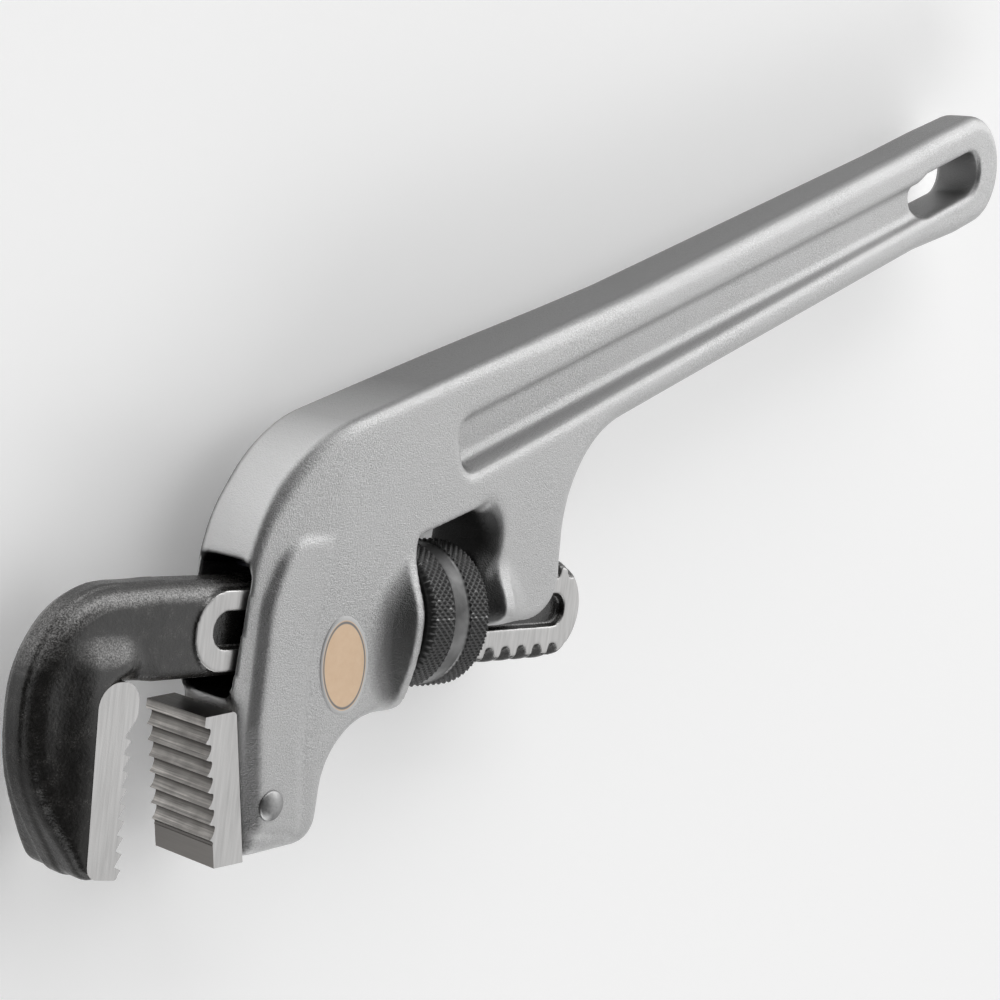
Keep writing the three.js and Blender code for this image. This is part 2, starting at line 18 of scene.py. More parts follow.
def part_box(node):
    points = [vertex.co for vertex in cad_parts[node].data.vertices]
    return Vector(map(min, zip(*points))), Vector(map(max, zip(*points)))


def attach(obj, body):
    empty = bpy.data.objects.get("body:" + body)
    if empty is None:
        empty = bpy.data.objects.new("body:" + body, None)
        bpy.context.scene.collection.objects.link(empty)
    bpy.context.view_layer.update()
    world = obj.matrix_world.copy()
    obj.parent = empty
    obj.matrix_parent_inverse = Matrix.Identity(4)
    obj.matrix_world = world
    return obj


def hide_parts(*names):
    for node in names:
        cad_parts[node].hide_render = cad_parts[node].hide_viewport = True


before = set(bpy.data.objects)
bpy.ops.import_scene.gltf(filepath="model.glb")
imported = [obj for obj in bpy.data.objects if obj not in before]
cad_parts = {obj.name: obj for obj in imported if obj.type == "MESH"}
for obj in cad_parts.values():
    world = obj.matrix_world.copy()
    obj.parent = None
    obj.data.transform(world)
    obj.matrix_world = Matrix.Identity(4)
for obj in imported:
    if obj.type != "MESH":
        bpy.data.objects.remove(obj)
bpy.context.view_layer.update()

MM = 0.001
NUT_LOW, NUT_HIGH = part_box("adjusting_nut")
ORIGIN = (NUT_LOW + NUT_HIGH) / 2

# ------------------------------------------------------------- dimensions, mm

SIDE = 7.5  # half the housing's thickness
HANDLE_ANGLE = math.radians(21.57)
HANDLE_CENTRELINE = 25.5
HANDLE_HALF_HEIGHT = 10.1
HANDLE_TAPER_START = 30
HANDLE_END_CENTRE = 176.8
HANDLE_END_RADIUS = 11.6
HANDLE_END_HALF_THICKNESS = 5.1
RECESS_START = 9.5
RECESS_HALF_WIDTH = 5.0
RECESS_MIDDLE = -0.5
RECESS_WALL_LEAN = 0.42  # how far a wall comes in for each mm of depth
WEB_HALF_THICKNESS = 3
HANG_SLOT_START = 153.4
HANG_SLOT_END = 178.4
PAD_CREASE = -28
FRONT_THINNING = 0.112
PAD_RISE = 0.22

WINDOW_HALF_LENGTH = 7.6
TUNNEL_HALF_WIDTH = 5.3
TUNNEL_FLOOR = -10.3
TUNNEL_ROOF = 9.9
LUG_ROOF = 8.9
LUG_ROOF_RISE = 1.4  # room at the lug's back for the shank's last threads
LUG_FLOOR = -0.9

JAW_HALF_WIDTH = 6.35
NECK_HALF_WIDTH = 4.6
SHANK_HALF_WIDTH = 5
SHANK_RADIUS = 7.4
SHANK_TAIL = 38.4
TAIL_CENTRE = 30.3  # the tail's end is turned to a ball about this point
TAIL_RADIUS = 9.4
RAIL_START = -49.3
RAIL_HALF_HEIGHT = 6
SHANK_RECESS_START = -45.8
SHANK_RECESS_END = 34.1
SHANK_RECESS_HALF_HEIGHT = 2.75
SHANK_RECESS_DEPTH = 1.5

THREAD_PITCH = 4.15
THREAD_OFFSET = 1.5
THREAD_FLOOR_RADIUS = 7.45
THREAD_TIP_RADIUS = 8.9
THREAD_START = -22

NUT_RADIUS = 11.82
NUT_HALF_LENGTH = 6.92
NUT_BORE_RADIUS = 9.25
NUT_GROOVE = (-1.45, 1.74)
NUT_GROOVE_DEPTH = 0.45

HEEL_TILT = math.radians(11.6)
HEEL_CORNER = (-41.1, -11.4)
HEEL_DEPTH = 6.05
HEEL_HEIGHT = 23.0
HEEL_TOOTH_START = 0.7
HEEL_TOOTH_PITCH = 2.46
HEEL_TEETH = 8
HOOK_FACE = -60.2
HOOK_FACE_LEAN = 0.033  # the face comes forward by this for each mm down
HOOK_TOOTH_START = -14.05
HOOK_TOOTH_PITCH = 2.28
HOOK_TEETH = 9
TOOTH_DEPTH = 1.1
TOOTH_BEVEL = 0.12

PIN_PLACE = (-33.3, -25.8)
PIN_RADIUS = 1.9
PIN_HEAD_RADIUS = 2.35

LABEL_PLACE = (-21.2, -5.7)
LABEL_HALF_SIZE = (4.95, 7.7)

CAMERA_PLACE = (-251.6, 54.8, 222.1)
CAMERA_AIM = (0.7693, -0.1041, -0.6303)
CAMERA_UP = (-0.0001, 0.9866, -0.163)
CAMERA_LENS = 76.9


def place(x, y, z=0.0):
    """A point of the tool, in metres in the frame."""
    return Vector((x, y, z)) * MM + ORIGIN


# ----------------------------------------------------------- outlines, fields


def turned(point, angle):
    x, y = point
    return (
        x * math.cos(angle) - y * math.sin(angle),
        x * math.sin(angle) + y * math.cos(angle),
    )


def outline(corners, step=math.radians(7)):
    """Outline points from corners (x, y, radius); radius 0 leaves a corner sharp."""
    points = []
    for i, (x, y, radius) in enumerate(corners):
        corner = Vector((x, y))
        if not radius:
            points.append((x, y))
            continue
        back = (Vector(corners[i - 1][:2]) - corner).normalized()
        forward = (Vector(corners[(i + 1) % len(corners)][:2]) - corner).normalized()
        half = back.angle(forward) / 2
        centre = corner + (back + forward).normalized() * radius / math.sin(half)
        start = corner + back * radius / math.tan(half) - centre
        sweep = -back.angle_signed(-forward)
        steps = max(2, math.ceil(abs(sweep) / step))
        for k in range(steps + 1):
            arm = turned(start, sweep * k / steps)
            points.append((centre.x + arm[0], centre.y + arm[1]))
    return points


def on_handle(corners):
    """Corners given along and across the handle, in the tool's axes."""
    return [
        (*turned((along, HANDLE_CENTRELINE + across), HANDLE_ANGLE), radius)
        for along, across, radius in corners
    ]


def on_heel(corners):
    """Corners given down the heel jaw's face and back from it, in the tool's axes."""
    placed = []
    for down, back, radius in corners:
        x, y = turned((back, -down), HEEL_TILT)
        placed.append((x + HEEL_CORNER[0], y + HEEL_CORNER[1], radius))
    return placed


def racetrack(start, end, half, middle=0.0, first=0.98, last=0.98):
    return [
        (start, middle - half, half * first),
        (end, middle - half, half * last),
        (end, middle + half, half * last),
        (start, middle + half, half * first),
    ]


class Grid:
    """The sample points of a box of space, as arrays that broadcast together."""

    def __init__(self, low, high, step):
        self.low, self.step = np.array(low, float), step
        axes = [np.arange(a, b + step, step) for a, b in zip(low, high)]
        self.x, self.y, self.z = np.ix_(*axes)
        self.across = np.abs(self.z)


def distance_to(points, x, y):
    """Signed distance to a closed outline, negative inside."""
    x, y = np.broadcast_arrays(x, y)
    nearest = np.full(x.shape, 1e9)
    inside = np.zeros(x.shape, bool)
    for (ax, ay), (bx, by) in zip(points, points[1:] + points[:1]):
        ex, ey = bx - ax, by - ay
        wx, wy = x - ax, y - ay
        reach = np.clip((wx * ex + wy * ey) / max(ex * ex + ey * ey, 1e-12), 0, 1)
        nearest = np.minimum(nearest, (wx - ex * reach) ** 2 + (wy - ey * reach) ** 2)
        if ay != by:
            inside ^= ((ay <= y) != (by <= y)) & (wx < ex * wy / ey)
    return np.where(inside, -1, 1) * np.sqrt(nearest)


def join(a, b, radius):
    """Both solids, with a fillet of that radius between them."""
    rest = np.maximum(radius, np.minimum(a, b))
    return rest - np.hypot(np.maximum(radius - a, 0), np.maximum(radius - b, 0))


def common(a, b, radius):
    """What two solids share, with its edge rounded to that radius."""
    rest = np.minimum(-radius, np.maximum(a, b))
    return rest + np.hypot(np.maximum(radius + a, 0), np.maximum(radius + b, 0))


def cut(a, b, radius):
    return common(a, -b, radius)


def ramp(value, start, end):
    """0 before start and 1 after end, smooth between."""
    t = np.clip((value - start) / (end - start), 0, 1)
    return t * t * (3 - 2 * t)


# ------------------------------------------------------------ meshes, pieces


def show_mesh(mesh, material, body, node):
    """A mesh as a piece that rides on a body and may stand for a CAD node."""
    mesh.materials.append(material)
    piece = bpy.data.objects.new(mesh.name, mesh)
    bpy.context.scene.collection.objects.link(piece)
    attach(piece, body)
    if node:
        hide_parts(node)
    return piece


def add_piece(name, points, faces, material, body, node=None, smooth=True):
    """A piece from points in mm and their faces."""
    mesh = bpy.data.meshes.new(name)
    mesh.from_pydata([place(*p) for p in points], [], faces)
    mesh.validate()
    mesh.update()
    if smooth:
        mesh.shade_smooth()
    else:
        mesh.shade_flat()
    return show_mesh(mesh, material, body, node)


def skin(field, grid):
    """Points in mm and faces of a field's zero surface."""
    edge = grid.step * 4
    volume = openvdb.FloatGrid(background=edge)
    volume.copyFromArray(np.clip(field, -edge, edge).astype(np.float32))
    points, quads = volume.convertToQuads(0.0)
    return points * grid.step + grid.low, quads


def add_field_piece(name, field, grid, material, body, node):
    """A piece from the zero surface of a field."""
    points, quads = skin(field, grid)
    mesh = bpy.data.meshes.new(name)
    mesh.from_pydata(points * MM + np.array(ORIGIN), [], quads.tolist())
    mesh.update()
    mesh.shade_smooth()
    return show_mesh(mesh, material, body, node)


def add_plate(name, points, half, material, body, node=None, bevel=0.15):
    """An outline through the thickness, its edges bevelled."""
    count = len(points)
    lower = [(x, y, -half) for x, y in points]
    upper = [(x, y, half) for x, y in points]
    sides = [(i, (i + 1) % count, (i + 1) % count + count, i + count) for i in range(count)]
    faces = [tuple(range(count - 1, -1, -1)), tuple(range(count, 2 * count)), *sides]
    piece = add_piece(name, lower + upper, faces, material, body, node, smooth=False)
    edges = piece.modifiers.new("edges", "BEVEL")
    edges.width = bevel * MM
    edges.segments = 2
    edges.limit_method = "ANGLE"
    edges.angle_limit = math.radians(25)
    edges.harden_normals = True
    return piece


def add_revolved(name, profile, radius_at, axis, segments, material, body, node=None):
    """A closed ring surface: profile gives (along, radius) pairs, radius_at may
    change each radius by its angle."""
    angles = np.linspace(0, 2 * math.pi, segments, endpoint=False)
    points = []
    for along, radius, worked in profile:
        radii = radius_at(along, radius, angles) if worked else np.full(segments, radius)
        across, up = radii * np.cos(angles), radii * np.sin(angles)
        if axis == "x":
            points.append(np.stack([np.full(segments, along), across, up], 1))
        else:
            points.append(np.stack([across, up, np.full(segments, along)], 1))
    rings = len(profile)
    faces = []
    for ring in range(rings):
        a, b = ring * segments, ((ring + 1) % rings) * segments
        for i in range(segments):
            j = (i + 1) % segments
            faces.append((a + i, a + j, b + j, b + i))
    return add_piece(name, np.concatenate(points), faces, material, body, node)


# ------------------------------------------------------------------ materials


class Shader:
    """A material's node tree, with short calls for the nodes used here."""

    def __init__(self, name):
        self.material = bpy.data.materials.new(name)
        self.material.use_nodes = True
        self.tree = self.material.node_tree
        self.surface = self.tree.nodes["Principled BSDF"]
        self.place = self.tree.nodes.new("ShaderNodeTexCoord").outputs["Object"]

    def put(self, socket, value):
        if isinstance(value, bpy.types.NodeSocket):
            self.tree.links.new(value, socket)
        else:
            socket.default_value = value

    def set(self, **values):
        for name, value in values.items():
            self.put(self.surface.inputs[name.replace("_", " ")], value)

    def math(self, operation, a, b=0.0, clamp=False):
        node = self.tree.nodes.new("ShaderNodeMath")
        node.operation = operation
        node.use_clamp = clamp
        self.put(node.inputs[0], a)
        self.put(node.inputs[1], b)
        return node.outputs[0]

    def scaled(self, stretch):
        node = self.tree.nodes.new("ShaderNodeMapping")
        self.put(node.inputs["Vector"], self.place)
        node.inputs["Scale"].default_value = stretch
        return node.outputs[0]

    def noise(self, scale, detail=3.0, roughness=0.55, stretch=(1, 1, 1)):
        """Noise whose lumps are 1/scale mm across."""
        node = self.tree.nodes.new("ShaderNodeTexNoise")
        self.put(node.inputs["Vector"], self.scaled(stretch))
        node.inputs["Scale"].default_value = scale / MM
        node.inputs["Detail"].default_value = detail
        node.inputs["Roughness"].default_value = roughness
        return node.outputs["Fac"]

    def range(self, value, low, high, new_low=0.0, new_high=1.0):
        node = self.tree.nodes.new("ShaderNodeMapRange")
        for i, v in enumerate((value, low, high, new_low, new_high)):
            self.put(node.inputs[i], v)
        return node.outputs[0]

    def mix(self, amount, a, b):
        node = self.tree.nodes.new("ShaderNodeMix")
        node.data_type = "RGBA"
        self.put(node.inputs["Factor"], amount)
        self.put(node.inputs["A"], (*a, 1) if isinstance(a, tuple) else a)
        self.put(node.inputs["B"], (*b, 1) if isinstance(b, tuple) else b)
        return node.outputs["Result"]

    def mix_value(self, amount, a, b):
        node = self.tree.nodes.new("ShaderNodeMix")
        self.put(node.inputs["Factor"], amount)
        self.put(node.inputs["A"], a)
        self.put(node.inputs["B"], b)
        return node.outputs["Result"]

    def axes(self, vector=None):
        node = self.tree.nodes.new("ShaderNodeSeparateXYZ")
        self.put(node.inputs[0], self.place if vector is None else vector)
        return node.outputs

    def normal(self):
        node = self.tree.nodes.new("ShaderNodeNewGeometry")
        return self.axes(node.outputs["Normal"])

    def edges(self):
        """How far a spot stands on an outward edge, 0.5 on the flat."""
        node = self.tree.nodes.new("ShaderNodeNewGeometry")
        return node.outputs["Pointiness"]

    def bump(self, height, strength, depth):
        node = self.tree.nodes.new("ShaderNodeBump")
        node.inputs["Strength"].default_value = strength
        node.inputs["Distance"].default_value = depth * MM
        self.put(node.inputs["Height"], height)
        self.put(self.surface.inputs["Normal"], node.outputs[0])


def grey(value, warmth=0.0):
    return (value * (1 + warmth), value, value * (1 - warmth))


def cast_aluminium():
    """Blasted casting with an even fine grain. Painted shade darkens the back edge, edges that
    lean forward, faces near the handle's end and on either side of the nut, and the shank's
    tunnel; a painted reflection makes the front paler."""
    s = Shader("cast_aluminium")
    grain = s.noise(4.2, detail=2.0, roughness=0.7)
    patches = s.noise(0.05, detail=4.0)
    height = s.math("ADD", grain, s.math("MULTIPLY", s.noise(1.6, detail=1.0), 0.3))
    s.bump(height, 1.0, 0.13)
    side = s.mix(s.range(grain, 0.3, 0.7), grey(0.32), grey(0.66))
    toned = s.mix(s.range(patches, 0.35, 0.7), side, grey(0.5))
    facing = s.normal()
    # Painted shade: faces turned to the back (+y) are darkened.
    back = s.range(facing[1], 0.7, 0.92, 0.0, 0.88)
    toned = s.mix(back, toned, grey(0.17))
    x, y, z = s.axes()
    nut_y, nut_z = ORIGIN.y, ORIGIN.z
    forward = s.range(facing[0], -0.1, -0.9)
    leaning = s.range(facing[0], -0.2, -0.6)
    sideways = s.math("ABSOLUTE", facing[2])
    # Painted shade: edges that lean forward and turn partly sideways are darkened.
    forward_edge_shade = s.math("MULTIPLY", leaning, s.range(sideways, 0.3, 0.5, 0.0, 0.62))
    toned = s.mix(forward_edge_shade, toned, grey(0.12))
    # Painted reflection: front faces ahead of the nut are made paler.
    front_reflection = s.math("MULTIPLY", forward, s.range(sideways, 0.35, 0.1))
    front_reflection = s.math("MULTIPLY", front_reflection, s.range(x, ORIGIN.x - 8 * MM, ORIGIN.x - 22 * MM))
    toned = s.mix(front_reflection, toned, grey(0.92))
    # Painted shade on faces turned towards the hook near the handle's end, the hang slot's end
    # wall among them.
    slot_shade = s.math("MULTIPLY", s.range(facing[0], 0.3, -0.1), s.range(sideways, 0.5, 0.15))
    slot_shade = s.math("MULTIPLY", slot_shade, s.range(x, ORIGIN.x + 115 * MM, ORIGIN.x + 125 * MM))
    toned = s.mix(s.math("MULTIPLY", slot_shade, 0.85), toned, grey(0.2))
    # Painted shade on faces turned towards the hook between the nut and the lug's swell.
    past_nut = s.range(x, ORIGIN.x + 6 * MM, ORIGIN.x + 7 * MM)
    before_rise = s.range(x, ORIGIN.x + 14 * MM, ORIGIN.x + 12.5 * MM)
    under_back = s.range(y, nut_y + 19.5 * MM, nut_y + 18.5 * MM)
    nut_side_shade = s.math("MULTIPLY", s.math("MULTIPLY", past_nut, before_rise), under_back)
    nut_side_shade = s.math("MULTIPLY", nut_side_shade, s.range(facing[0], -0.12, -0.5, 0.0, 0.92))
    toned = s.mix(nut_side_shade, toned, grey(0.045))
    # Painted shade on the slope that rises to the nut from the hook's side.
    past_label = s.range(x, ORIGIN.x - 17 * MM, ORIGIN.x - 14 * MM)
    before_nut_shade = s.math("MULTIPLY", past_label, s.range(x, ORIGIN.x - 8 * MM, ORIGIN.x - 9 * MM))
    before_nut_shade = s.math("MULTIPLY", before_nut_shade, s.range(y, nut_y + 12.5 * MM, nut_y + 11 * MM))
    before_nut_shade = s.math("MULTIPLY", before_nut_shade, s.range(facing[0], -0.08, -0.42, 0.0, 0.9))
    toned = s.mix(before_nut_shade, toned, grey(0.06))
    # Painted shade inside the shank's tunnel.
    width = s.math("ABSOLUTE", s.math("SUBTRACT", z, nut_z))
    inner = s.range(width, (TUNNEL_HALF_WIDTH + 0.15) * MM, (TUNNEL_HALF_WIDTH - 0.2) * MM)
    height_in = s.math("SUBTRACT", y, nut_y)
    lower = s.range(height_in, (TUNNEL_FLOOR - 0.3) * MM, (TUNNEL_FLOOR + 0.4) * MM)
    upper = s.range(height_in, (TUNNEL_ROOF + 0.6) * MM, (TUNNEL_ROOF - 0.2) * MM)
    before_handle = s.range(x, ORIGIN.x + 34 * MM, ORIGIN.x + 33 * MM)
    tunnel_shade = s.math("MULTIPLY", s.math("MULTIPLY", inner, lower), upper)
    tunnel_shade = s.math("MULTIPLY", tunnel_shade, before_handle)
    s.set(Base_Color=s.mix(tunnel_shade, toned, grey(0.05)), Metallic=0.85)
    s.set(Roughness=s.range(grain, 0.3, 0.7, 0.34, 0.48))
    return s.material


def jaw_steel():
    """The hook jaw's skin: black where forged, bright where its sides are ground, with a painted
    highlight on edges that face up.
    """
    s = Shader("hook_jaw_steel")
    pits = s.noise(0.5, detail=5.0, roughness=0.6)
    fine = s.noise(2.4, detail=3.0)
    dots = s.noise(4.5, detail=2.0)
    lines = s.noise(2.4, detail=2.0, stretch=(1, 0.06, 1))
    x, y, z = s.axes()
    width = s.math("ABSOLUTE", s.math("SUBTRACT", z, ORIGIN.z))
    ragged = s.math("MULTIPLY", s.math("SUBTRACT", pits, 0.5), 0.06 * MM)
    ground = s.range(
        s.math("ADD", width, ragged),
        (SHANK_HALF_WIDTH - 0.14) * MM,
        (SHANK_HALF_WIDTH - 0.09) * MM,
    )
    neck_end = ORIGIN.x + (RAIL_START - 0.3) * MM
    behind_neck = s.range(x, neck_end, neck_end + 0.1 * MM)
    ground = s.math("MULTIPLY", ground, behind_neck)
    worn = s.math("MULTIPLY", s.range(pits, 0.5, 0.68), s.range(dots, 0.5, 0.72))
    black = s.mix(worn, s.mix(pits, grey(0.006, 0.05), grey(0.016, 0.08)), grey(0.1, 0.04))
    bright = s.mix(lines, grey(0.34, 0.01), grey(0.6, 0.01))
    # Painted highlight: rubbed here is no wear but the lightening of edges whose normals turn up
    # (+y), broken up by noise.
    upward = s.normal()[1]
    edge_lit = s.math("MULTIPLY", s.range(upward, 0.2, 0.45), s.range(upward, 0.9, 0.7))
    rubbed = s.math("MULTIPLY", edge_lit, s.range(dots, 0.42, 0.62, 0.1, 0.85))
    black = s.mix(rubbed, black, grey(0.3, 0.02))
    s.set(Base_Color=s.mix(ground, black, bright))
    shine = s.range(y, ORIGIN.y - 17 * MM, ORIGIN.y - 5 * MM, 0.32, 0.8)
    s.set(Specular_IOR_Level=shine)
    skin_height = s.math("ADD", pits, s.math("MULTIPLY", fine, 0.4))
    ground_height = s.math("ADD", s.math("MULTIPLY", lines, 0.1), 0.6)
    s.bump(s.mix_value(ground, skin_height, ground_height), 0.42, 0.3)
    s.set(Metallic=s.range(ground, 0, 1, 0.1, 1.0))
    s.set(Roughness=s.range(ground, 0, 1, s.range(fine, 0.3, 0.7, 0.22, 0.36), 0.36))
    return s.material


def ground_steel(name, corner, tilt, start, pitch, teeth):
    """Bright flats with fine parallel lines; on the teeth, painted highlight mixed with wear
    lightens each tip, and painted shade darkens the roots and faces turned up.
    """
    s = Shader(name)
    lines = s.noise(2.4, detail=3.0, stretch=(1, 0.05, 1))
    cross = s.noise(4.0, detail=4.0, stretch=(1, 1, 0.03))
    facing = s.normal()
    flat = s.range(s.math("ABSOLUTE", facing[2]), 0.8, 0.95)
    stains = s.noise(0.35, detail=4.0)
    teeth_end = start + (teeth - 1) * pitch + 0.7
    x, y, _ = s.axes()
    dx = s.math("SUBTRACT", x, ORIGIN.x + corner[0] * MM)
    dy = s.math("SUBTRACT", y, ORIGIN.y + corner[1] * MM)
    down = s.math(
        "SUBTRACT",
        s.math("MULTIPLY", dx, math.sin(tilt)),
        s.math("MULTIPLY", dy, math.cos(tilt)),
    )
    # Painted highlight mixed with wear: worn grows towards each tooth's tip and is broken up by
    # wear noise.
    tooth = s.math("FRACT", s.math("DIVIDE", s.math("SUBTRACT", down, start * MM), pitch * MM))
    near_tip = s.range(tooth, 0.3, 0.98, 0.0, 1.0)
    worn = s.math("MULTIPLY", near_tip, s.range(cross, 0.3, 0.7, 0.4, 1.3))
    worn = s.math("MULTIPLY", worn, s.range(stains, 0.3, 0.7, 0.7, 1.2))
    past_teeth = s.range(down, (teeth_end - 0.2) * MM, teeth_end * MM)
    worn = s.mix_value(past_teeth, worn, 0.16)
    # Painted shade: faces turned up (+y) lose most of the tip lightening.
    worn = s.math("MULTIPLY", worn, s.range(facing[1], 0.5, 0.9, 1.0, 0.15))
    dull = s.mix(worn, grey(0.08, 0.07), grey(0.95, 0.04))
    bright = s.mix(lines, grey(0.36, 0.01), grey(0.62, 0.01))
    s.set(Base_Color=s.mix(flat, dull, bright), Metallic=1.0)
    s.set(Roughness=s.range(flat, 0, 1, s.range(cross, 0.3, 0.7, 0.28, 0.46), 0.36))
    s.bump(s.math("ADD", s.math("MULTIPLY", lines, flat), cross), 0.4, 0.06)
    return s.material


def black_oxide():
    """Knurled nut: oxide with bright worn crests and a rubbed middle."""
    s = Shader("black_oxide")
    rubbed = s.noise(0.12, detail=3.0)
    fine = s.noise(3.0, detail=3.0)
    crest = s.range(s.edges(), 0.52, 0.62)
    x = s.axes()[0]
    along = s.math("SUBTRACT", x, ORIGIN.x)
    past_start = s.range(along, (NUT_GROOVE[0] - 0.2) * MM, NUT_GROOVE[0] * MM)
    before_end = s.range(along, (NUT_GROOVE[1] + 0.2) * MM, NUT_GROOVE[1] * MM)
    middle = s.math("MULTIPLY", past_start, before_end)
    shine = s.math("MULTIPLY", middle, s.range(rubbed, 0.35, 0.65, 0.15, 0.9))
    worn = s.math("MAXIMUM", s.math("MULTIPLY", crest, 0.8), shine)
    s.set(Base_Color=s.mix(worn, s.mix(fine, grey(0.02), grey(0.05)), grey(0.28)))
    s.set(Metallic=s.range(worn, 0, 1, 0.55, 0.95))
    s.set(Roughness=s.range(fine, 0.3, 0.7, 0.3, 0.48))
    s.bump(fine, 0.3, 0.06)
    return s.material


def bright_steel():
    """Pin and rivet heads, with turned rings."""
    s = Shader("bright_steel")
    rings = s.noise(2.2, detail=3.0, stretch=(1, 1, 0.2))
    s.set(Base_Color=s.mix(rings, grey(0.22), grey(0.42)), Metallic=1.0)
    s.set(Roughness=s.range(rings, 0.3, 0.7, 0.34, 0.5))
    s.bump(rings, 0.25, 0.05)
    return s.material


def spring_steel():
    """Blued spring strip and wire."""
    s = Shader("spring_steel")
    fine = s.noise(1.5, detail=4.0)
    s.set(Base_Color=s.mix(fine, (0.03, 0.035, 0.05), (0.09, 0.09, 0.1)), Metallic=0.9)
    s.set(Roughness=s.range(fine, 0.3, 0.7, 0.25, 0.42))
    s.bump(fine, 0.15, 0.04)
    return s.material


def label_film():
    """Oval film: tan field, thin blue-grey ring, silver border."""
    s = Shader("label_film")
    cos, sin = math.cos(HEEL_TILT), math.sin(HEEL_TILT)
    centre = place(*LABEL_PLACE)
    x, y, _ = s.axes()
    dx = s.math("SUBTRACT", x, centre.x)
    dy = s.math("SUBTRACT", y, centre.y)
    along = s.math("ADD", s.math("MULTIPLY", dx, cos), s.math("MULTIPLY", dy, sin))
    up = s.math("SUBTRACT", s.math("MULTIPLY", dy, cos), s.math("MULTIPLY", dx, sin))
    wide, tall = (v * MM for v in LABEL_HALF_SIZE)
    square_x = s.math("POWER", s.math("DIVIDE", along, wide), 2)
    square_y = s.math("POWER", s.math("DIVIDE", up, tall), 2)
    out = s.math("SQRT", s.math("ADD", square_x, square_y))
    mottle = s.noise(0.8, detail=3.0)
    field = s.mix(mottle, (0.7, 0.48, 0.3), (0.8, 0.6, 0.42))
    ring = s.math("MULTIPLY", s.range(out, 0.83, 0.85), s.range(out, 0.9, 0.88))
    bordered = s.mix(s.range(out, 0.9, 0.92), s.mix(ring, field, grey(0.2)), grey(0.55))
    s.set(Base_Color=bordered, Roughness=s.range(mottle, 0.3, 0.7, 0.35, 0.5))
    s.bump(mottle, 0.1, 0.03)
    return s.material


def floor_paper():
    s = Shader("floor_paper")
    tooth = s.noise(0.4, detail=2.0)
    s.set(Base_Color=s.mix(tooth, grey(0.93), grey(0.95)), Roughness=0.9)
    s.set(Specular_IOR_Level=0.1, Emission_Color=(1, 1, 1, 1), Emission_Strength=0.13)
    return s.material


# ------------------------------------------------------------ handle_housing


def housing_outline():
    front = on_heel([(23.2, 0.3, 1.5), (-0.5, 0.3, 1.5)])
    tip = HANDLE_END_CENTRE + HANDLE_END_RADIUS
    handle = on_handle([
        (72, -HANDLE_HALF_HEIGHT, 0),
        (152, -HANDLE_HALF_HEIGHT - 0.2, 30),
        (HANDLE_END_CENTRE - 8, -HANDLE_END_RADIUS, 12),
        (tip, -HANDLE_END_RADIUS, HANDLE_END_RADIUS * 0.98),
        (tip, HANDLE_END_RADIUS - 0.7, HANDLE_END_RADIUS * 0.93),
        (HANDLE_END_CENTRE - 12, HANDLE_END_RADIUS - 0.7, 12),
        (148, HANDLE_HALF_HEIGHT + 0.4, 30),
        (60, HANDLE_HALF_HEIGHT, 60),
        (6, HANDLE_HALF_HEIGHT + 1.6, 60),
    ])
    return outline([
        front[0],
        (-22.6, -32.6, 4.5),
        (-21.8, -15.6, 11),
        (-4.4, -12.8, 2.5),
        (-4.4, LUG_FLOOR, 0),
        (29.8, LUG_FLOOR, 8),
        (28.5, 27.8, 20),
        *handle,
        (-37.2, 26.3, 27),
        (-40.8, 10, 6),
        (-42.8, -8.2, 2.5),
        front[1],
    ], math.radians(3.5))


def side_pad_outline():
    return outline([
        (-26.8, -31.2, 1),
        (-28.8, -16.8, 0),
        (-28.4, -5.3, 0),
        (-26.9, 13.6, 0),
        (-34.4, 12.9, 6),
        (-37.3, 4, 14),
        (-37.3, -14, 3),
        (-34.8, -29.8, 1),
    ])


def window_outline():
    low, high = -WINDOW_HALF_LENGTH, WINDOW_HALF_LENGTH
    return outline([
        (low, -60, 0),
        (high, -60, 0),
        (high, 7.5, 3),
        (high + 2.2, 11, 3),
        (high + 2.2, 19.3, 4.5),
        (low, 13.6, 1.2),
    ])


